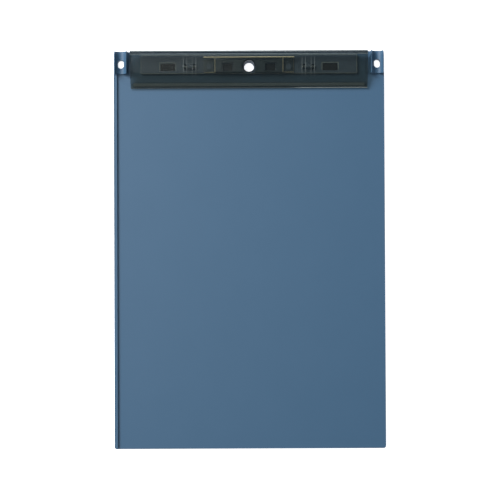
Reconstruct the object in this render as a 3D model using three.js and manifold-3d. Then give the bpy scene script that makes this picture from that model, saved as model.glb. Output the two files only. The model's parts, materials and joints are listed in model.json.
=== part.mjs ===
// A4 clipboard: a moulded board with a paper rim and two strap lugs, and a see-through spring clip.
// Millimetres. The board's back lies on z = 0, +Y points to the clip and +Z out of the writing face.
import * as THREE from "three";
import { mergeVertices } from "three/addons/utils/BufferGeometryUtils.js";
import Module from "manifold-3d";

const wasm = await Module();
wasm.setup();

// ---------- Driving dimensions ----------

// Board
const BOARD_WIDTH = 225;
const BOARD_LENGTH = 330;
const PANEL_THICKNESS = 3;
const CORNER_RADIUS = 2;
const RIM_WIDTH = 2.8;
const RIM_HEIGHT = 1.8;

// Strap lugs at the two top corners, each with a gutter along it and a hole through it
const LUG_WIDTH = 12;
const LUG_LENGTH = 18.7;
const LUG_HEIGHT = 6;
const LUG_LEAN = 1;
const GUTTER_RADIUS = 4.6;
const GUTTER_FLOOR_HEIGHT = 1.3;
const STRAP_HOLE_WIDTH = 5.2;
const STRAP_HOLE_LENGTH = 6.8;
const STRAP_HOLE_INSET = 10.6;

// One line across the board carries the hanging hole, the hinges and the retainers
const CLIP_AXIS_INSET = 13.3;
const BOARD_HANG_HOLE_RADIUS = 4.05;
const LEVER_HANG_HOLE_RADIUS = 4.6;

// Clip base
const BASE_THICKNESS = 1.9;
const BASE_FRONT_INSET = 18.7;
const BASE_REAR_INSET = 2.9;
const BASE_END_INSET = 8.3;
const BASE_CORNER_RADIUS = 0.8;
const COLLAR_WALL = 1.3;
const COLLAR_HEIGHT = 0.9;

// Lever
const LEVER_SIDE_GAP = 2.2;
const LEVER_REAR_INSET = 0.5;
const LEVER_REACH = 30.4;
const LEVER_WALL = 1.9;
const LEVER_EDGE_RADIUS = 1;
const CREASE_INSET = 18.3;
const CREASE_SETBACK = 0.4;
const DECK_SLOPE_DEG = 7.1;
const LIP_HEIGHT = 2.3;
const LIP_REAR_HEIGHT = 1.9;
const LIP_FLAT = 5.2;
const LIP_CLEARANCE = 0.7;
const LIP_ROUND_START_DEG = 112;
const RIDGE_WIDTH = 3.1;
const RIDGE_STEP = 0.6;
const RIDGE_CHAMFER = 0.3;
const REAR_WALL_DROP = 3.6;
const SIDE_WALL = 1.5;

// Grip strip in the lip's groove
const GRIP_WIDTH = 2.6;
const GRIP_DEPTH = 1.5;
const GRIP_SETBACK = 1.8;
const GRIP_END_INSET = 2.3;

// Hinges
const PIN_RADIUS = 0.9;
const RUNNING_CLEARANCE = 0.1;
const HINGE_WALL = 0.85;
const HINGE_SINK = 0.4;
const HINGE_HEADROOM = 0.45;
const KNUCKLE_WIDTH = 4;
const EAR_WIDTH = 2.4;
const EAR_ROOT_LENGTH = 10;
const EAR_GAP = 0.4;
const PIN_HEAD_RADIUS = 1.25;
const PIN_HEAD_LENGTH = 0.7;

// Leaf spring
const LEAF_THICKNESS = 0.4;
const LEAF_FOLD_RADIUS = 0.9;
const LEAF_FRONT_SETBACK = 0.7;
const LEAF_REAR_SETBACK = 3.3;
const LEAF_CURL_RADIUS = 0.9;
const LEAF_HOLE_CLEARANCE = 0.7;
const LEAF_SLOT_WIDTH = 1.3;
const STAKE_RADIUS = 1.3;
const STAKE_HEAD_RADIUS = 2.3;
const STAKE_HEAD_HEIGHT = 0.8;

// Retainers that fix the base to the board
const OUTER_RETAINER_WIDTH = 11.9;
const INNER_RETAINER_WIDTH = 8.2;
const RETAINER_LENGTH = 5.7;
const RETAINER_RECESS = 1.1;
const RETAINER_HEAD_HEIGHT = 0.6;
const RETAINER_SHOULDER = 1.5;
const RETAINER_TAIL_HEIGHT = 0.9;
const RETAINER_SLIT = 0.8;

// Places across the clip, as shares of the base's half width
const OUTER_RETAINER_SHARE = 0.749;
const HINGE_SHARE = 0.545;
const LOWER_LEAF_SHARE = 0.416;
const STAKE_SHARE = 0.367;
const UPPER_LEAF_SHARE = 0.319;
const LEAF_SLOT_SHARE = 0.241;
const INNER_RETAINER_SHARE = 0.197;

// Gap left where one piece rests on or fits in another
const FIT_GAP = 0.3;
const CUT_MARGIN = 1;
const ARC_STEPS = 16;

// ---------- Derived sizes ----------

// In the clip's frame: y = 0 at the board's top edge and z = 0 on its writing face

const halfWidth = BOARD_WIDTH / 2;
const leverHalf = halfWidth - LUG_WIDTH - LEVER_SIDE_GAP;
const baseHalf = leverHalf - BASE_END_INSET;
const lugX = halfWidth - LUG_WIDTH / 2;

const outerRetainerX = OUTER_RETAINER_SHARE * baseHalf;
const hingeX = HINGE_SHARE * baseHalf;
const lowerLeafHalf = LOWER_LEAF_SHARE * baseHalf;
const stakeX = STAKE_SHARE * baseHalf;
const upperLeafHalf = UPPER_LEAF_SHARE * baseHalf;
const leafSlotHalf = LEAF_SLOT_SHARE * baseHalf;
const innerRetainerX = INNER_RETAINER_SHARE * baseHalf;

const axisY = -CLIP_AXIS_INSET;
const baseBottom = FIT_GAP;
const baseTop = baseBottom + BASE_THICKNESS;
const baseHoleRadius = BOARD_HANG_HOLE_RADIUS + FIT_GAP;
const collarRadius = baseHoleRadius + COLLAR_WALL;
const hingeRadius = PIN_RADIUS + RUNNING_CLEARANCE + HINGE_WALL;
const hingeZ = baseTop + hingeRadius - HINGE_SINK;
const deckUnderAtAxis = hingeZ + hingeRadius + HINGE_HEADROOM;
const deckSlope = Math.tan(THREE.MathUtils.degToRad(DECK_SLOPE_DEG));
const recessFloor = baseTop - RETAINER_RECESS;
const retainerHeadBottom = recessFloor + FIT_GAP;
const leafMiddle = baseTop + FIT_GAP + LEAF_THICKNESS / 2;

// ---------- Solids ----------

function solid(geometry) {
  const bare = geometry.clone();
  bare.deleteAttribute("normal");
  bare.deleteAttribute("uv");
  const merged = mergeVertices(bare, 1e-4);
  const mesh = new wasm.Mesh({
    numProp: 3,
    vertProperties: merged.attributes.position.array,
    triVerts: new Uint32Array(merged.index.array),
  });
  return new wasm.Manifold(mesh);
}

function geometryOf(manifold) {
  const mesh = manifold.getMesh();
  const geometry = new THREE.BufferGeometry();
  geometry.setAttribute("position", new THREE.BufferAttribute(mesh.vertProperties, 3));
  geometry.setIndex(new THREE.BufferAttribute(mesh.triVerts, 1));
  const flat = geometry.toNonIndexed();
  flat.computeVertexNormals();
  return flat;
}

function join(pieces) {
  return pieces.reduce((whole, piece) => whole.add(piece));
}

function cut(body, tools) {
  return tools.reduce((left, tool) => left.subtract(tool), body);
}

function box(xRange, yRange, zRange) {
  const size = [xRange, yRange, zRange].map(([low, high]) => high - low);
  const centre = [xRange, yRange, zRange].map(([low, high]) => (low + high) / 2);
  return solid(new THREE.BoxGeometry(...size).translate(...centre));
}

// An outline in X and Y, raised from one z to another
function raised(shape, bottom, top) {
  const options = { depth: top - bottom, bevelEnabled: false, curveSegments: ARC_STEPS };
  return solid(new THREE.ExtrudeGeometry(shape, options).translate(0, 0, bottom));
}

// A section in Y and Z, drawn along X
function alongX(section, left, right) {
  const options = { depth: right - left, bevelEnabled: false, curveSegments: ARC_STEPS };
  const geometry = new THREE.ExtrudeGeometry(section, options);
  const turn = new THREE.Matrix4().set(0, 0, 1, left, 1, 0, 0, 0, 0, 1, 0, 0, 0, 0, 0, 1);
  return solid(geometry.applyMatrix4(turn));
}

// A section in X and Z, drawn along Y
function alongY(section, front, rear) {
  const options = { depth: rear - front, bevelEnabled: false, curveSegments: ARC_STEPS };
  const geometry = new THREE.ExtrudeGeometry(section, options);
  return solid(geometry.rotateX(Math.PI / 2).translate(0, rear, 0));
}

function upright(radius, x, y, bottom, top) {
  const shape = new THREE.Shape().absarc(x, y, radius, 0, 2 * Math.PI);
  return raised(shape, bottom, top);
}

function roundAlongX(radius, y, z, left, right) {
  const section = new THREE.Shape().absarc(y, z, radius, 0, 2 * Math.PI);
  return alongX(section, left, right);
}

function roundedRectangle(xRange, yRange, radius) {
  const [left, right] = xRange;
  const [front, rear] = yRange;
  return new THREE.Shape()
    .absarc(right - radius, front + radius, radius, -Math.PI / 2, 0)
    .absarc(right - radius, rear - radius, radius, 0, Math.PI / 2)
    .absarc(left + radius, rear - radius, radius, Math.PI / 2, Math.PI)
    .absarc(left + radius, front + radius, radius, Math.PI, 1.5 * Math.PI);
}

// A hinge tab in Y and Z: a half circle round the pin, widening to its root above or below
function hingeTab(left, right, end, rootHalf) {
  const towards = Math.sign(end - hingeZ);
  const section = new THREE.Shape()
    .moveTo(axisY + towards * rootHalf, end)
    .lineTo(axisY - towards * rootHalf, end)
    .lineTo(axisY - towards * hingeRadius, hingeZ);
  const start = towards > 0 ? Math.PI : 0;
  section.absarc(axisY, hingeZ, hingeRadius, start, start + Math.PI);
  return alongX(section, left, right);
}

const span = (centre, half) => [centre - half, centre + half];
const bothSides = (make) => [-1, 1].map(make);

// ---------- Board ----------

function makeBoard() {
  const rear = BOARD_LENGTH / 2;
  const face = PANEL_THICKNESS;
  const outline = roundedRectangle(span(0, halfWidth), span(0, rear), CORNER_RADIUS);
  const lugFront = rear - LUG_LENGTH;

  const rim = box([-halfWidth, -halfWidth + RIM_WIDTH], span(0, rear), [0, face + RIM_HEIGHT]);
  const lugs = bothSides((side) => makeLug(side * lugX, lugFront, rear));
  const standing = join([rim, ...lugs]).intersect(raised(outline, 0, face + LUG_HEIGHT));
  const body = raised(outline, 0, face).add(standing);

  const strapHoles = bothSides((side) => makeStrapHole(side * lugX, rear - STRAP_HOLE_INSET));
  const hangHole = upright(
    BOARD_HANG_HOLE_RADIUS, 0, rear + axisY, -CUT_MARGIN, face + CUT_MARGIN);
  const seats = retainerPlaces().flatMap(({ x, width }) => makeRetainerSeat(x, width));
  return cut(body, [...strapHoles, hangHole, ...seats]);
}

// A block whose sides lean in, with a half-pipe gutter along its top
function makeLug(x, front, rear) {
  const top = PANEL_THICKNESS + LUG_HEIGHT;
  const half = LUG_WIDTH / 2;
  const block = new THREE.Shape()
    .moveTo(x - half, 0)
    .lineTo(x + half, 0)
    .lineTo(x + half, PANEL_THICKNESS)
    .lineTo(x + half - LUG_LEAN, top)
    .lineTo(x - half + LUG_LEAN, top)
    .lineTo(x - half, PANEL_THICKNESS);
  const centreZ = PANEL_THICKNESS + GUTTER_FLOOR_HEIGHT + GUTTER_RADIUS;
  const gutter = new THREE.Shape()
    .moveTo(x + GUTTER_RADIUS, top + CUT_MARGIN)
    .lineTo(x - GUTTER_RADIUS, top + CUT_MARGIN)
    .lineTo(x - GUTTER_RADIUS, centreZ)
    .absarc(x, centreZ, GUTTER_RADIUS, Math.PI, 2 * Math.PI);
  return cut(alongY(block, front, rear), [alongY(gutter, front - CUT_MARGIN, rear + CUT_MARGIN)]);
}

function makeStrapHole(x, y) {
  const radius = STRAP_HOLE_WIDTH / 2;
  const straight = STRAP_HOLE_LENGTH / 2 - radius;
  const outline = new THREE.Shape()
    .absarc(x, y + straight, radius, 0, Math.PI)
    .absarc(x, y - straight, radius, Math.PI, 2 * Math.PI);
  return raised(outline, -CUT_MARGIN, PANEL_THICKNESS + LUG_HEIGHT + CUT_MARGIN);
}

// The slot a retainer's shank goes through and the recess that holds its tail at the back
function makeRetainerSeat(x, width) {
  const y = BOARD_LENGTH / 2 + axisY;
  const shankHalf = width / 2 - RETAINER_SHOULDER + FIT_GAP;
  const shankReach = RETAINER_LENGTH / 2 - RETAINER_SHOULDER / 2 + FIT_GAP;
  const tailHalf = width / 2 + FIT_GAP;
  const tailReach = RETAINER_LENGTH / 2 + FIT_GAP;
  const recessTop = RETAINER_TAIL_HEIGHT + 2 * FIT_GAP;
  return [
    box(span(x, shankHalf), span(y, shankReach), [-CUT_MARGIN, PANEL_THICKNESS + CUT_MARGIN]),
    box(span(x, tailHalf), span(y, tailReach), [-CUT_MARGIN, recessTop]),
  ];
}

// ---------- Clip base ----------

function makeBase() {
  const plate = raised(
    roundedRectangle(
      span(0, baseHalf), [-BASE_FRONT_INSET, -BASE_REAR_INSET], BASE_CORNER_RADIUS),
    baseBottom, baseTop);
  const collar = upright(collarRadius, 0, axisY, baseBottom, baseTop + COLLAR_HEIGHT);
  const knuckles = bothSides((side) => {
    const [left, right] = span(side * hingeX, KNUCKLE_WIDTH / 2);
    return hingeTab(left, right, baseBottom, hingeRadius);
  });
  const stakes = bothSides((side) => makeStake(side * stakeX));
  const body = join([plate, collar, ...knuckles, ...stakes]);

  const hangHole = upright(
    baseHoleRadius, 0, axisY, -CUT_MARGIN, baseTop + COLLAR_HEIGHT + CUT_MARGIN);
  const windows = retainerPlaces().flatMap(({ x, width }) => makeBaseWindow(x, width));
  const earSlots = bothSides((side) => makeEarSlots(side * hingeX)).flat();
  const bores = bothSides((side) => makePinBore(side * hingeX));
  return cut(body, [hangHole, ...windows, ...earSlots, ...bores]);
}

// A post through the spring's lower leaf with a flattened head above it
function makeStake(x) {
  const headBottom = leafMiddle + LEAF_THICKNESS / 2 + FIT_GAP;
  return upright(STAKE_RADIUS, x, axisY, baseBottom, headBottom + STAKE_HEAD_HEIGHT).add(
    upright(STAKE_HEAD_RADIUS, x, axisY, headBottom, headBottom + STAKE_HEAD_HEIGHT));
}

function makeBaseWindow(x, width) {
  const shankHalf = width / 2 - RETAINER_SHOULDER + FIT_GAP;
  const shankReach = RETAINER_LENGTH / 2 - RETAINER_SHOULDER / 2 + FIT_GAP;
  const headHalf = width / 2 + FIT_GAP;
  const headReach = RETAINER_LENGTH / 2 + FIT_GAP;
  return [
    box(span(x, shankHalf), span(axisY, shankReach), [-CUT_MARGIN, baseTop + CUT_MARGIN]),
    box(span(x, headHalf), span(axisY, headReach), [recessFloor, baseTop + CUT_MARGIN]),
  ];
}

function makeEarSlots(x) {
  return earPlaces(x).map((earX) =>
    box(
      span(earX, EAR_WIDTH / 2 + FIT_GAP),
      span(axisY, hingeRadius + 2 * FIT_GAP),
      [-CUT_MARGIN, baseTop + CUT_MARGIN]));
}

function earPlaces(x) {
  const offset = KNUCKLE_WIDTH / 2 + EAR_GAP + EAR_WIDTH / 2;
  return [x - offset, x + offset];
}

function makePinBore(x) {
  const reach = KNUCKLE_WIDTH / 2 + EAR_GAP + EAR_WIDTH + CUT_MARGIN;
  return roundAlongX(PIN_RADIUS + RUNNING_CLEARANCE, axisY, hingeZ, x - reach, x + reach);
}

// ---------- Lever ----------

function makeLever() {
  const deck = alongX(leverSection(), -leverHalf, leverHalf);
  const sideWalls = bothSides((side) => {
    const [left, right] = span(side * (leverHalf - SIDE_WALL / 2), SIDE_WALL / 2);
    return alongX(sideWallSection(), left, right);
  });
  const ears = bothSides((side) => earPlaces(side * hingeX)).flat().map((x) => {
    const [left, right] = span(x, EAR_WIDTH / 2);
    return hingeTab(left, right, deckUnderAtAxis + LEVER_WALL / 2, EAR_ROOT_LENGTH / 2);
  });
  const body = join([deck, ...sideWalls, ...ears]);

  const hangHole = upright(
    LEVER_HANG_HOLE_RADIUS, 0, axisY, deckUnderAtAxis - CUT_MARGIN, ridgeTop() + CUT_MARGIN);
  const [gripLeft, gripRight] = span(0, leverHalf - GRIP_END_INSET + FIT_GAP);
  const [gripFront, gripRear] = gripSpan();
  const groove = box(
    [gripLeft, gripRight],
    [gripFront - FIT_GAP, gripRear + FIT_GAP],
    [-CUT_MARGIN, FIT_GAP + GRIP_DEPTH + FIT_GAP]);
  const bores = bothSides((side) => makePinBore(side * hingeX));
  return cut(body, [hangHole, groove, ...bores]);
}

function deckUnder(y) {
  return deckUnderAtAxis + (y - axisY) * deckSlope;
}

function ridgeTop() {
  return deckUnder(-LEVER_REAR_INSET - RIDGE_WIDTH) + LEVER_WALL + RIDGE_STEP;
}

// The lever's section: a lip, a steep front, a crease, a gently rising deck, a ridge and a rear wall
function leverSection() {
  const rear = -LEVER_REAR_INSET;
  const front = rear - LEVER_REACH;
  const ridgeFront = rear - RIDGE_WIDTH;
  const creaseY = -CREASE_INSET;
  const innerCreaseY = creaseY + CREASE_SETBACK;
  const radius = LEVER_EDGE_RADIUS;
  const lipRoundStart = THREE.MathUtils.degToRad(LIP_ROUND_START_DEG);
  return new THREE.Shape()
    .moveTo(front, LIP_CLEARANCE)
    .lineTo(front + LIP_FLAT, LIP_CLEARANCE)
    .lineTo(front + LIP_FLAT, LIP_REAR_HEIGHT)
    .lineTo(innerCreaseY, deckUnder(innerCreaseY))
    .lineTo(rear - SIDE_WALL, deckUnder(rear - SIDE_WALL))
    .lineTo(rear - SIDE_WALL, ridgeTop() - REAR_WALL_DROP)
    .lineTo(rear, ridgeTop() - REAR_WALL_DROP)
    .absarc(rear - radius, ridgeTop() - radius, radius, 0, Math.PI / 2)
    .lineTo(ridgeFront + RIDGE_CHAMFER, ridgeTop())
    .lineTo(ridgeFront, deckUnder(ridgeFront) + LEVER_WALL)
    .lineTo(creaseY, deckUnder(creaseY) + LEVER_WALL)
    .absarc(front + radius, LIP_HEIGHT - radius, radius, lipRoundStart, Math.PI);
}

// A side wall reaches least far down at the rear, where pressing the lever brings it nearest the board
function sideWallSection() {
  const rear = -LEVER_REAR_INSET;
  const front = -CREASE_INSET;
  const overlap = LEVER_WALL / 2;
  return new THREE.Shape()
    .moveTo(front, LIP_CLEARANCE + FIT_GAP)
    .lineTo(rear, ridgeTop() - REAR_WALL_DROP - CUT_MARGIN)
    .lineTo(rear, deckUnder(rear) + overlap)
    .lineTo(front, deckUnder(front) + overlap);
}

// ---------- Grip strip, pins, spring and retainers ----------

function gripSpan() {
  const front = -LEVER_REAR_INSET - LEVER_REACH + GRIP_SETBACK;
  return [front, front + GRIP_WIDTH];
}

function makeGripStrip() {
  return box(span(0, leverHalf - GRIP_END_INSET), gripSpan(), [FIT_GAP, FIT_GAP + GRIP_DEPTH]);
}

// A headed pin along X, centred on its own origin, with its head at +X
function makePin() {
  const shaftHalf = KNUCKLE_WIDTH / 2 + EAR_GAP + EAR_WIDTH + RUNNING_CLEARANCE;
  const profile = [
    new THREE.Vector2(0, -shaftHalf),
    new THREE.Vector2(PIN_RADIUS, -shaftHalf),
    new THREE.Vector2(PIN_RADIUS, shaftHalf),
    new THREE.Vector2(PIN_HEAD_RADIUS, shaftHalf),
    new THREE.Vector2(PIN_HEAD_RADIUS, shaftHalf + PIN_HEAD_LENGTH),
    new THREE.Vector2(0, shaftHalf + PIN_HEAD_LENGTH),
  ];
  return solid(new THREE.LatheGeometry(profile, 2 * ARC_STEPS).rotateZ(-Math.PI / 2));
}

// A closed band of even thickness along a path
function bandAlong(path, thickness) {
  const points = path.getPoints(ARC_STEPS / 2);
  const spine = points.filter((point, i) => i === 0 || point.distanceTo(points[i - 1]) > 1e-6);
  const offset = (side) => spine.map((point, i) => {
    const before = spine[Math.max(i - 1, 0)];
    const after = spine[Math.min(i + 1, spine.length - 1)];
    const along = after.clone().sub(before).normalize();
    return new THREE.Vector2(-along.y, along.x).multiplyScalar(side * thickness / 2).add(point);
  });
  return new THREE.Shape([...offset(1), ...offset(-1).reverse()]);
}

// A V of sheet steel: the lower leaf lies on the base, the fold is in front, the curled end lifts the deck
function makeLeafSpring() {
  const foldY = -BASE_FRONT_INSET + LEAF_FRONT_SETBACK + LEAF_FOLD_RADIUS;
  const rearY = -BASE_REAR_INSET - LEAF_REAR_SETBACK;
  const curlTop = deckUnder(rearY) - FIT_GAP - LEAF_THICKNESS / 2;
  const path = new THREE.Path()
    .moveTo(rearY, leafMiddle)
    .lineTo(foldY, leafMiddle)
    .absarc(foldY, leafMiddle + LEAF_FOLD_RADIUS, LEAF_FOLD_RADIUS, -Math.PI / 2, Math.PI / 2, true)
    .absarc(rearY, curlTop - LEAF_CURL_RADIUS, LEAF_CURL_RADIUS, Math.PI / 2, 0, true);
  const body = alongX(bandAlong(path, LEAF_THICKNESS), -lowerLeafHalf, lowerLeafHalf);

  const top = deckUnderAtAxis + LEVER_WALL;
  const betweenLeaves = leafMiddle + LEAF_THICKNESS;
  const barFront = rearY - LEAF_SLOT_WIDTH / 2;
  const wings = bothSides((side) => {
    const half = (lowerLeafHalf - upperLeafHalf + CUT_MARGIN) / 2;
    const x = side * (upperLeafHalf + half);
    return box(span(x, half), [-BASE_FRONT_INSET, barFront], [betweenLeaves, top]);
  });
  const hangHole = upright(collarRadius + LEAF_HOLE_CLEARANCE, 0, axisY, 0, top);
  const slot = box(
    span(0, leafSlotHalf), [barFront - LEAF_SLOT_WIDTH, barFront], [betweenLeaves, top]);
  const stakeHoles = bothSides((side) =>
    upright(STAKE_RADIUS + FIT_GAP, side * stakeX, axisY, 0, top));
  const windows = bothSides((side) => box(
    span(side * innerRetainerX, INNER_RETAINER_WIDTH / 2 + 2 * FIT_GAP),
    span(axisY, RETAINER_LENGTH / 2 + 2 * FIT_GAP),
    [0, top]));
  return cut(body, [...wings, hangHole, slot, ...stakeHoles, ...windows]);
}

function retainerPlaces() {
  return [
    { x: -outerRetainerX, width: OUTER_RETAINER_WIDTH },
    { x: -innerRetainerX, width: INNER_RETAINER_WIDTH },
    { x: innerRetainerX, width: INNER_RETAINER_WIDTH },
    { x: outerRetainerX, width: OUTER_RETAINER_WIDTH },
  ];
}

// A snap plug about x = 0: a flat head in the base, a split shank and a tail at the board's back
function makeRetainer(width) {
  const tailBottom = -PANEL_THICKNESS + FIT_GAP;
  const tailTop = tailBottom + RETAINER_TAIL_HEIGHT;
  const headTop = retainerHeadBottom + RETAINER_HEAD_HEIGHT;
  const across = span(0, width / 2);
  const along = span(axisY, RETAINER_LENGTH / 2);
  const head = box(across, along, [retainerHeadBottom, headTop]);
  const shank = box(
    span(0, width / 2 - RETAINER_SHOULDER),
    span(axisY, RETAINER_LENGTH / 2 - RETAINER_SHOULDER / 2),
    [tailBottom, headTop]);
  const tail = box(across, along, [tailBottom, tailTop]);
  const slit = box(
    span(0, RETAINER_SLIT / 2),
    span(axisY, RETAINER_LENGTH),
    [tailBottom - CUT_MARGIN, retainerHeadBottom]);
  return cut(join([head, shank, tail]), [slit]);
}

// ---------- Materials and assembly ----------

const MATERIALS = {
  boardPlastic: { color: "#52708a", roughness: 0.55, metalness: 0 },
  smokePlastic: { color: "#3a4446", roughness: 0.12, metalness: 0, opacity: 0.6 },
  basePlastic: { color: "#5c7a94", roughness: 0.4, metalness: 0 },
  gripRubber: { color: "#6b7474", roughness: 0.8, metalness: 0 },
  springSteel: { color: "#b9b6a6", roughness: 0.3, metalness: 1 },
  pinSteel: { color: "#c6c8c9", roughness: 0.25, metalness: 1 },
  blackPlastic: { color: "#1d1f20", roughness: 0.5, metalness: 0 },
};

function namedMesh(name, manifold, look) {
  const settings = MATERIALS[look];
  const material = new THREE.MeshStandardMaterial({
    ...settings, transparent: settings.opacity !== undefined });
  const mesh = new THREE.Mesh(geometryOf(manifold), material);
  mesh.name = name;
  return mesh;
}

function makeHingePins() {
  return bothSides((side) => {
    const pin = namedMesh(`hinge_pin_${side < 0 ? "left" : "right"}`, makePin(), "pinSteel");
    pin.position.set(side * hingeX, axisY, hingeZ);
    pin.rotation.z = side < 0 ? Math.PI : 0;
    return pin;
  });
}

function makeRetainers() {
  return retainerPlaces().map(({ x, width }, index) => {
    const retainer = namedMesh(`base_retainer_${index + 1}`, makeRetainer(width), "blackPlastic");
    retainer.position.x = x;
    return retainer;
  });
}

const clip = new THREE.Group();
clip.name = "clip";
clip.position.set(0, BOARD_LENGTH / 2, PANEL_THICKNESS);
clip.add(namedMesh("clip_base", makeBase(), "basePlastic"));
clip.add(namedMesh("clip_lever", makeLever(), "smokePlastic"));
clip.add(namedMesh("grip_strip", makeGripStrip(), "gripRubber"));
clip.add(namedMesh("leaf_spring", makeLeafSpring(), "springSteel"));
clip.add(...makeHingePins());
clip.add(...makeRetainers());

const clipboard = new THREE.Group();
clipboard.name = "clipboard";
clipboard.add(namedMesh("board", makeBoard(), "boardPlastic"));
clipboard.add(clip);

export default clipboard;
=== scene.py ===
"""An A4 clipboard: a matt slate-blue board with a paper rim and strap lugs, and a smoke-coloured clip.

Metres, in the CAD's frame: the board's back lies on z = 0, +Y points to the clip and +Z out of the
writing face.
"""

import json
import math

import bmesh
import bpy
from mathutils import Euler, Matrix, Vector

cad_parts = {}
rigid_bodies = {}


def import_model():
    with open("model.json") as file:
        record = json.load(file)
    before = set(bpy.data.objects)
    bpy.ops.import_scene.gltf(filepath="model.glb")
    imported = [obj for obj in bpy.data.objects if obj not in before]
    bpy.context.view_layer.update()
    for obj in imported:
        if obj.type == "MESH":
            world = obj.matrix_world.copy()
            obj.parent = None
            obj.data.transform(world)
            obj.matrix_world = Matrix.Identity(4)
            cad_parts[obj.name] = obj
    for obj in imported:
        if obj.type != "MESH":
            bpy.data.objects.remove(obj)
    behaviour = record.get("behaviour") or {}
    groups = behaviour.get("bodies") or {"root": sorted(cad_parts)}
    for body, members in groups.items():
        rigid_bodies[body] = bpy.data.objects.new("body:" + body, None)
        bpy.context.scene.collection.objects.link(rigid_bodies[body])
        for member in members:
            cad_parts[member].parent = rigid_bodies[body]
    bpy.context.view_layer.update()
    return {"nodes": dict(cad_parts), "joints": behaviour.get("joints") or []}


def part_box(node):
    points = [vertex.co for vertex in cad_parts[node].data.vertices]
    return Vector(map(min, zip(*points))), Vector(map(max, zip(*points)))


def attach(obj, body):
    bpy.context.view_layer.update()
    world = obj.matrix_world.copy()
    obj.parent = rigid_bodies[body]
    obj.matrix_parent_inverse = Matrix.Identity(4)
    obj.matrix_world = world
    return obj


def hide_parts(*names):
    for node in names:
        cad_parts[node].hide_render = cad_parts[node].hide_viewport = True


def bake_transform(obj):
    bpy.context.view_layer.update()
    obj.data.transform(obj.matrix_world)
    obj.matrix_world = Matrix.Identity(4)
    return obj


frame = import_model()

MM = 0.001
HINGE = frame["joints"][0]
ROOT_BODY = HINGE["parent"]
LEVER_BODY = HINGE["child"]


# ---------- Pieces ----------

EDGE_ANGLE = math.radians(13)  # faces that meet at more than this have a rounded edge between them
FLAT_ANGLE = math.radians(0.5)  # faces that meet at less than this are one flat face
SAME_POINT = 1e-6  # points nearer to each other than this are one point

# A rounding stays under half of the narrowest flat beside it, or that flat would fold over itself.
BOARD_EDGE = 0.18 * MM
BASE_EDGE = 0.15 * MM
LEVER_EDGE = 0.14 * MM
GRIP_EDGE = 0.2 * MM
PIN_EDGE = 0.1 * MM
RETAINER_EDGE = 0.12 * MM
SPRING_EDGE = 0.08 * MM


def rounded_copy(node, body, edge_radius, segments=3):
    """A copy of a CAD node with rounded edges and smooth round faces, which rides on a body."""
    mesh = frame["nodes"][node].data.copy()
    mesh.materials.clear()
    work = bmesh.new()
    work.from_mesh(mesh)
    bmesh.ops.remove_doubles(work, verts=work.verts, dist=SAME_POINT)
    bmesh.ops.dissolve_limit(work, angle_limit=FLAT_ANGLE, verts=work.verts, edges=work.edges)
    work.to_mesh(mesh)
    work.free()
    for face in mesh.polygons:
        face.use_smooth = True
    piece = bpy.data.objects.new(f"{node}_shown", mesh)
    bpy.context.collection.objects.link(piece)
    bevel = piece.modifiers.new("rounded edges", "BEVEL")
    bevel.limit_method = "ANGLE"
    bevel.angle_limit = EDGE_ANGLE
    bevel.width = edge_radius
    bevel.segments = segments
    bevel.use_clamp_overlap = False
    bevel.loop_slide = False
    weighted = piece.modifiers.new("flat faces stay flat", "WEIGHTED_NORMAL")
    weighted.mode = "FACE_AREA"
    weighted.weight = 100
    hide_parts(node)
    if body:
        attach(piece, body)
    return piece


def dress(piece, material):
    """Gives a piece its material, and returns the piece."""
    piece.data.materials.append(material)
    return piece


# ---------- Materials ----------

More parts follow.
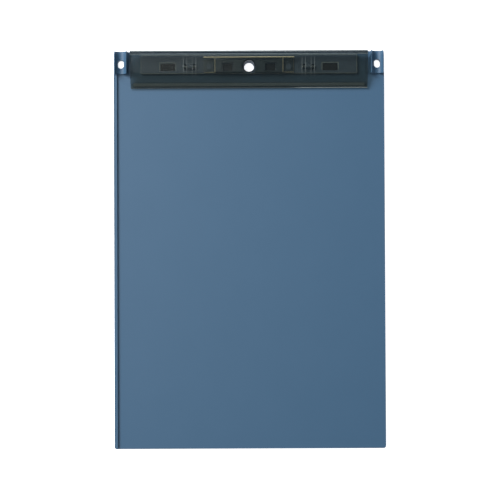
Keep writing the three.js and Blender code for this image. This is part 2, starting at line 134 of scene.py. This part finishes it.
class Nodes:
    """A material's node tree, with short calls for making and linking nodes."""

    def __init__(self, name):
        self.material = bpy.data.materials.new(name)
        self.material.use_nodes = True
        self.tree = self.material.node_tree
        self.tree.nodes.clear()
        self.output = self.tree.nodes.new("ShaderNodeOutputMaterial")

    def add(self, kind, inputs=None, **settings):
        node = self.tree.nodes.new(kind)
        for name, value in settings.items():
            setattr(node, name, value)
        for name, value in (inputs or {}).items():
            self.set(node.inputs[name], value)
        return node

    def set(self, socket, value):
        if isinstance(value, bpy.types.NodeSocket):
            self.tree.links.new(value, socket)
        else:
            socket.default_value = value

    def position(self):
        return self.add("ShaderNodeTexCoord").outputs["Object"]

    def place(self):
        """The shading point's X, Y and Z, as sockets by name."""
        parts = self.add("ShaderNodeSeparateXYZ", {"Vector": self.position()})
        return {axis: parts.outputs[axis] for axis in "XYZ"}

    def noise(self, size, detail=3.0, stretch=(1, 1, 1)):
        """Noise whose features are about size metres across."""
        scaled = self.add(
            "ShaderNodeMapping", {"Vector": self.position(), "Scale": stretch})
        return self.add(
            "ShaderNodeTexNoise",
            {"Vector": scaled.outputs["Vector"], "Scale": 1 / size, "Detail": detail}).outputs["Fac"]

    def ramp(self, value, low, high):
        """value from 0 to 1 mapped to a range of numbers."""
        return self.add(
            "ShaderNodeMapRange", {"Value": value, "To Min": low, "To Max": high}).outputs["Result"]

    def blend_colours(self, factor, first, second):
        mix = self.add("ShaderNodeMix", data_type="RGBA")
        self.set(mix.inputs["Factor"], factor)
        self.set(mix.inputs["A"], first)
        self.set(mix.inputs["B"], second)
        return mix.outputs["Result"]

    def math(self, operation, *values):
        node = self.tree.nodes.new("ShaderNodeMath")
        node.operation = operation
        for socket, value in zip(node.inputs, values):
            self.set(socket, value)
        return node.outputs[0]

    def step(self, value, edge, softness):
        """0 below edge and 1 above it, with a soft change over softness."""
        return self.add("ShaderNodeMapRange", {
            "Value": value, "From Min": edge, "From Max": edge + softness}).outputs["Result"]

    def line(self, value, centre, width):
        """1 where value is at centre, and down to 0 half a width to either side."""
        above = self.step(value, centre - width / 2, width / 2)
        below = self.step(value, centre, width / 2)
        return self.math("SUBTRACT", above, below)

    def outline(self, place, centre, half, width):
        """1 along the sides of an upright rectangle seen from above, given by its centre and half sizes."""
        distances = []
        for axis, middle, reach in zip(("X", "Y"), centre, half):
            offset = self.math("ABSOLUTE", self.math("SUBTRACT", place[axis], middle))
            distances.append(self.math("SUBTRACT", offset, reach))
        return self.line(self.math("MAXIMUM", *distances), -width / 2, width)

    def strongest(self, *masks):
        whole = masks[0]
        for mask in masks[1:]:
            whole = self.math("MAXIMUM", whole, mask)
        return whole

    def mix(self, factor, first, second):
        node = self.add("ShaderNodeMixShader")
        self.set(node.inputs[0], factor)
        self.set(node.inputs[1], first.outputs[0])
        self.set(node.inputs[2], second.outputs[0])
        return node

    def bump(self, height, depth):
        return self.add(
            "ShaderNodeBump", {"Height": height, "Strength": 1.0, "Distance": depth}).outputs["Normal"]

    def finish(self, shader):
        self.tree.links.new(shader, self.output.inputs["Surface"])
        return self.material


CLOUD_SIZE = 35 * MM
MOULD_GRAIN = 0.35 * MM
GRAIN_DEPTH = 0.004 * MM
GRAIN_ROUGHNESS = 0.06
# the pale colour of highlights painted along moulded edges
EDGE_HIGHLIGHT_COLOUR = (0.48, 0.58, 0.54)


def moulded_plastic(name, dark, light, roughness, grain=MOULD_GRAIN, edge_highlights=None):
    """Matt plastic with an eroded grain, a slight cloudiness in its colour and, if given, painted
    highlights along its edges.
    """
    nodes = Nodes(name)
    cloud = nodes.noise(CLOUD_SIZE, detail=4)
    fine = nodes.noise(grain, detail=2)
    colour = nodes.blend_colours(cloud, (*dark, 1), (*light, 1))
    if edge_highlights:
        # painted highlights along the edges, laid into the colour
        colour = nodes.blend_colours(edge_highlights(nodes), colour, (*EDGE_HIGHLIGHT_COLOUR, 1))
    shader = nodes.add("ShaderNodeBsdfPrincipled", {
        "Base Color": colour,
        "Roughness": nodes.ramp(fine, roughness - GRAIN_ROUGHNESS, roughness + GRAIN_ROUGHNESS),
        "Normal": nodes.bump(fine, GRAIN_DEPTH),
    })
    return nodes.finish(shader.outputs["BSDF"])


RIDGE_WIDTH = 3.1 * MM
RIDGE_LINE = 2.85 * MM  # from the lever's rear to the light line at the ridge's foot
LIP_LINE = 0.4 * MM  # from the lever's front to the light line along the lip
GRIP_REACH = 6 * MM  # from the lever's front to just past the grip strip
# a faint painted lightening of the lip over the grip strip
GRIP_PAINTED_LIGHT = 0.01
LIT_LIP_START = 0.35  # where the lit end of the lip starts, as a share of the lever's half width
HINGE_GLOW = 20 * MM  # how much of an ear, along Y, gets painted light edges
LEVER_HOLE_RADIUS = 4.6 * MM
EAR_SIDES = (43.9 * MM, 46.7 * MM, 51.4 * MM, 54.2 * MM)


def lever_painted_highlights(nodes, place, low, high):
    """Where light lines are painted on the lever: the ridge's foot, the lip, over the grip, and the hinge
    ears.
    """
    ridge = nodes.line(place["Y"], high.y - RIDGE_LINE, 0.6 * MM)
    lip = nodes.line(place["Y"], low.y + LIP_LINE, 2 * LIP_LINE)
    lit_end = nodes.step(place["X"], LIT_LIP_START * high.x, 0.1 * high.x)
    lit_lip = nodes.math("MULTIPLY", lip, nodes.ramp(lit_end, 0.25, 1.0))
    off_grip = nodes.step(place["Y"], low.y + GRIP_REACH, 0.8 * MM)
    over_grip = nodes.ramp(off_grip, GRIP_PAINTED_LIGHT, 0)
    across = nodes.math("ABSOLUTE", place["X"])
    ears = nodes.strongest(*(nodes.line(across, side, 0.7 * MM) for side in EAR_SIDES))
    beside_hinge = nodes.line(place["Y"], HINGE["pos_m"][1], HINGE_GLOW)
    lit_ears = nodes.math("MULTIPLY", ears, nodes.ramp(beside_hinge, 0, 0.35))
    patchy = nodes.ramp(nodes.noise(40 * MM, detail=2, stretch=(1, 0.2, 1)), 0.4, 0.8)
    return nodes.math("MULTIPLY", nodes.strongest(ridge, lit_lip, lit_ears, over_grip), patchy)


# What one surface of the smoke plastic lets through, so a wall has this tint twice over.
THIN_TINTS = ((0.71, 0.70, 0.655), (0.76, 0.75, 0.705))
RIDGE_TINT = (0.38, 0.40, 0.40)
HOLE_WALL_TINT = (0.22, 0.24, 0.25)
HAZE = (0.037, 0.056, 0.070)
# the pale diffuse colour of the highlights painted on the lever
HIGHLIGHT_PAINT_COLOUR = (0.42, 0.49, 0.50)
SQUARE_ON_SHARE = 0.125  # how much of a surface seen square on is haze and reflection


def lever_tint(nodes, place, high):
    """The tint of the lever's walls, darker in the thick ridge and round the wall of the hanging hole."""
    swirl = nodes.noise(18 * MM, detail=3, stretch=(0.3, 1, 1))
    dark, light = THIN_TINTS
    thin = nodes.blend_colours(swirl, (*dark, 1), (*light, 1))
    in_ridge = nodes.step(place["Y"], high.y - RIDGE_WIDTH, 0.4 * MM)
    ridged = nodes.blend_colours(in_ridge, thin, (*RIDGE_TINT, 1))
    past_hole_line = nodes.math("SUBTRACT", place["Y"], HINGE["pos_m"][1])
    from_hole = nodes.add("ShaderNodeCombineXYZ", {"X": place["X"], "Y": past_hole_line})
    away = nodes.add("ShaderNodeVectorMath", {0: from_hole.outputs[0]}, operation="LENGTH")
    off_hole = nodes.step(away.outputs["Value"], LEVER_HOLE_RADIUS + 0.6 * MM, 0.4 * MM)
    in_hole_wall = nodes.math("SUBTRACT", 1.0, off_hole)
    return nodes.blend_colours(in_hole_wall, ridged, (*HOLE_WALL_TINT, 1))


def smoke_plastic():
    """Polished see-through plastic. Light goes straight through its walls and is tinted on the way.

    Seen at a glancing angle a surface reflects more, as Schlick's curve says, alike from both sides.
    """
    nodes = Nodes("smoke plastic")
    place = nodes.place()
    low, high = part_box("clip_lever")
    clear = nodes.add("ShaderNodeBsdfTransparent", {"Color": lever_tint(nodes, place, high)})
    gloss = nodes.add("ShaderNodeBsdfPrincipled", {
        "Base Color": (*HAZE, 1),
        "Roughness": nodes.ramp(nodes.noise(4 * MM, detail=5), 0.08, 0.16),
        "IOR": 1.49,
        "Normal": nodes.bump(nodes.noise(9 * MM, detail=2), 0.01 * MM),
    })
    facing = nodes.add("ShaderNodeLayerWeight", {"Blend": 0.5})
    glancing = nodes.math("POWER", facing.outputs["Facing"], 5.0)
    polished = nodes.mix(nodes.ramp(glancing, SQUARE_ON_SHARE, 1.0), clear, gloss)
    # painted highlights: a pale diffuse colour laid along the lever's light lines
    highlight_paint = nodes.add("ShaderNodeBsdfDiffuse", {"Color": (*HIGHLIGHT_PAINT_COLOUR, 1)})
    with_painted_highlights = nodes.mix(lever_painted_highlights(nodes, place, low, high), polished, highlight_paint)
    return nodes.finish(with_painted_highlights.outputs["Shader"])


def flat_box(node):
    """The centre and the half sizes, in X and Y, of a CAD node seen from above."""
    low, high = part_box(node)
    return ((low + high) / 2).to_2d(), ((high - low) / 2).to_2d()


FRAME_GAP = Vector((1.2, 1.2)) * MM  # from a retainer to the painted highlight round its window
FRONT_FRAME_SHARE = 0.1


def base_edge_highlights(nodes):
    """Painted highlights on the base: along its outline and round the retainers' windows, faint in front,
    where the edges face away from the light.
    """
    place = nodes.place()
    frames = []
    for number in range(1, 5):
        centre, half = flat_box(f"base_retainer_{number}")
        frame_line = nodes.outline(place, centre, half + FRAME_GAP, 0.8 * MM)
        off_front = nodes.step(place["Y"], centre.y - half.y, 1 * MM)
        strength = nodes.ramp(off_front, FRONT_FRAME_SHARE, 1)
        frames.append(nodes.math("MULTIPLY", frame_line, strength))
    outline = nodes.outline(place, *flat_box("clip_base"), 0.7 * MM)
    patchy = nodes.ramp(nodes.noise(9 * MM, detail=2), 0.2, 0.9)
    return nodes.math("MULTIPLY", nodes.strongest(outline, *frames), patchy)


UPPER_LEAF_HALF = 28.7 * MM
SPRING_LINE = 0.8 * MM
UPPER_END_SHARE = 0.7
FRONT_EDGE_SHARE = 0.6
LOWER_END_SHARE = 0.15


def spring_edge_highlights(nodes):
    """Painted highlights along the spring's edges.

    They are the rear edge, where the curl catches the light, the ends of both leaves, and the front edge
    past the upper leaf.
    """
    place = nodes.place()
    centre, half = flat_box("leaf_spring")
    across = nodes.math("ABSOLUTE", place["X"])
    upper_end = nodes.line(across, UPPER_LEAF_HALF - 0.5 * MM, 1.0 * MM)
    lower_end = nodes.line(across, half.x - SPRING_LINE / 2, SPRING_LINE)
    past_upper = nodes.step(across, UPPER_LEAF_HALF, 0.3 * MM)
    front = nodes.line(place["Y"], centre.y - half.y + SPRING_LINE / 2, SPRING_LINE)
    rear = nodes.step(place["Y"], centre.y + half.y - 1.1 * MM, 0.3 * MM)
    return nodes.strongest(
        rear,
        nodes.math("MULTIPLY", upper_end, UPPER_END_SHARE),
        nodes.math("MULTIPLY", nodes.math("MULTIPLY", front, past_upper), FRONT_EDGE_SHARE),
        nodes.math("MULTIPLY", lower_end, LOWER_END_SHARE))


ROLLING_LINES = (0.02, 1, 1)  # stretches the noise along X
STAIN = 0.82
# the pale colour of highlights painted along steel edges
GLINT_COLOUR = (0.95, 0.92, 0.68)
GLINT_METALLIC = 0.2


def rolled_steel(name, colour, roughness, edge_glints=None):
    """Sheet or drawn steel with fine lines along X and, if given, painted highlights along its edges."""
    nodes = Nodes(name)
    lines = nodes.noise(0.3 * MM, detail=3, stretch=ROLLING_LINES)
    stain = nodes.noise(12 * MM, detail=4)
    stained = tuple(STAIN * part for part in colour)
    shown = nodes.blend_colours(stain, (*stained, 1), (*colour, 1))
    metallic = 1.0
    if edge_glints:
        # the mask of highlights painted along the edges
        edges = edge_glints(nodes)
        shown = nodes.blend_colours(edges, shown, (*GLINT_COLOUR, 1))
        metallic = nodes.ramp(edges, 1.0, GLINT_METALLIC)
    shader = nodes.add("ShaderNodeBsdfPrincipled", {
        "Base Color": shown,
        "Metallic": metallic,
        "Roughness": nodes.ramp(lines, roughness - 0.08, roughness + 0.1),
        "Normal": nodes.bump(lines, 0.004 * MM),
    })
    return nodes.finish(shader.outputs["BSDF"])


# ---------- Studio ----------

FLOOR_HALF = 8.0
OVERHEAD_LIGHT = 0.12
HORIZON_LIGHT = 0.5
LOW_SKY, HIGH_SKY = 0.4, 0.9  # a direction's Z, which is 0 at the horizon and 1 overhead


def make_floor():
    """A pale floor that glows, so it stays white where no lamp reaches."""
    mesh = bpy.data.meshes.new("floor")
    half = FLOOR_HALF
    corners = [(-half, -half, 0), (half, -half, 0), (half, half, 0), (-half, half, 0)]
    mesh.from_pydata(corners, [], [(0, 1, 2, 3)])
    floor = bpy.data.objects.new("floor", mesh)
    bpy.context.collection.objects.link(floor)
    nodes = Nodes("pale floor")
    grain = nodes.noise(60 * MM, detail=3)
    shader = nodes.add("ShaderNodeBsdfPrincipled", {
        "Base Color": nodes.blend_colours(grain, (0.90, 0.90, 0.90, 1), (0.92, 0.92, 0.92, 1)),
        "Roughness": 0.9,
        "Emission Color": (1, 1, 1, 1),
        "Emission Strength": 0.9,
    })
    mesh.materials.append(nodes.finish(shader.outputs["BSDF"]))


def make_area_light(name, place, size, watts):
    """A square white lamp that points at the middle of the board."""
    light = bpy.data.lights.new(name, "AREA")
    light.shape = "SQUARE"
    light.size = size
    light.energy = watts
    lamp = bpy.data.objects.new(name, light)
    lamp.location = place
    lamp.rotation_euler = (-Vector(place)).to_track_quat("-Z", "Y").to_euler()
    bpy.context.collection.objects.link(lamp)


def make_world():
    """White light from all round, dimmest straight above, where the camera hangs."""
    world = bpy.data.worlds.new("studio")
    world.use_nodes = True
    tree = world.node_tree
    place = tree.nodes.new("ShaderNodeTexCoord")
    parts = tree.nodes.new("ShaderNodeSeparateXYZ")
    strength = tree.nodes.new("ShaderNodeMapRange")
    strength.inputs["From Min"].default_value = LOW_SKY
    strength.inputs["From Max"].default_value = HIGH_SKY
    strength.inputs["To Min"].default_value = HORIZON_LIGHT
    strength.inputs["To Max"].default_value = OVERHEAD_LIGHT
    background = tree.nodes["Background"]
    background.inputs["Color"].default_value = (1, 1, 1, 1)
    tree.links.new(place.outputs["Generated"], parts.inputs["Vector"])
    tree.links.new(parts.outputs["Z"], strength.inputs["Value"])
    tree.links.new(strength.outputs["Result"], background.inputs["Strength"])
    bpy.context.scene.world = world


CAMERA_DISTANCE = 1.0
CAMERA_TARGET = Vector((0.25 * MM, -0.3 * MM, 3 * MM))  # near the middle of the writing face
CAMERA_TOWARDS_FOOT = 12 * MM
CAMERA_ROLL = math.radians(-0.24)
SEEN_WIDTH = 0.41545
SENSOR_WIDTH = 36


def make_camera():
    """Straight above the board, a little towards its foot, with the photograph's slight roll."""
    camera = bpy.data.cameras.new("camera")
    camera.sensor_width = SENSOR_WIDTH
    camera.lens = SENSOR_WIDTH * CAMERA_DISTANCE / SEEN_WIDTH
    camera.clip_start = 0.01
    holder = bpy.data.objects.new("camera", camera)
    holder.location = CAMERA_TARGET + Vector((0, -CAMERA_TOWARDS_FOOT, CAMERA_DISTANCE))
    aim = (CAMERA_TARGET - holder.location).to_track_quat("-Z", "Y")
    roll = Euler((0, 0, CAMERA_ROLL)).to_quaternion()
    holder.rotation_mode = "QUATERNION"
    holder.rotation_quaternion = aim @ roll
    bpy.context.collection.objects.link(holder)
    bpy.context.scene.camera = holder


# ---------- The clipboard ----------

board_plastic = moulded_plastic(
    "board plastic", (0.034, 0.091, 0.164), (0.038, 0.097, 0.173), roughness=0.5)
base_plastic = moulded_plastic(
    "base plastic", (0.076, 0.122, 0.186), (0.084, 0.132, 0.198), roughness=0.4,
    edge_highlights=base_edge_highlights)
black_plastic = moulded_plastic(
    "black plastic", (0.004, 0.006, 0.008), (0.007, 0.010, 0.012), roughness=0.6)
grip_rubber = moulded_plastic(
    "grip rubber", (0.095, 0.135, 0.165), (0.110, 0.155, 0.185), roughness=0.8, grain=0.2 * MM)
spring_steel = rolled_steel(
    "blued spring steel", (0.115, 0.160, 0.195), roughness=0.36, edge_glints=spring_edge_highlights)
pin_steel = rolled_steel("pin steel", (0.30, 0.38, 0.44), roughness=0.3)
smoke = smoke_plastic()

dress(rounded_copy("board", ROOT_BODY, BOARD_EDGE), board_plastic)
dress(rounded_copy("clip_base", ROOT_BODY, BASE_EDGE, segments=2), base_plastic)
dress(rounded_copy("clip_lever", LEVER_BODY, LEVER_EDGE), smoke)
dress(rounded_copy("grip_strip", LEVER_BODY, GRIP_EDGE), grip_rubber)
for side in ("left", "right"):
    dress(rounded_copy(f"hinge_pin_{side}", LEVER_BODY, PIN_EDGE, segments=2), pin_steel)
for number in range(1, 5):
    name = f"base_retainer_{number}"
    dress(rounded_copy(name, ROOT_BODY, RETAINER_EDGE, segments=2), black_plastic)

# The spring rides on no body and keeps the shape the CAD gives it.
spring = dress(rounded_copy("leaf_spring", None, SPRING_EDGE, segments=2), spring_steel)
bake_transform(spring)

make_floor()
make_world()
make_area_light("key", place=(-1.55, 1.42, 1.68), size=1.3, watts=109)
make_area_light("sheen", place=(-0.35, -0.03, 1.15), size=0.7, watts=2.6)
make_camera()
bpy.context.scene.view_settings.view_transform = "Standard"
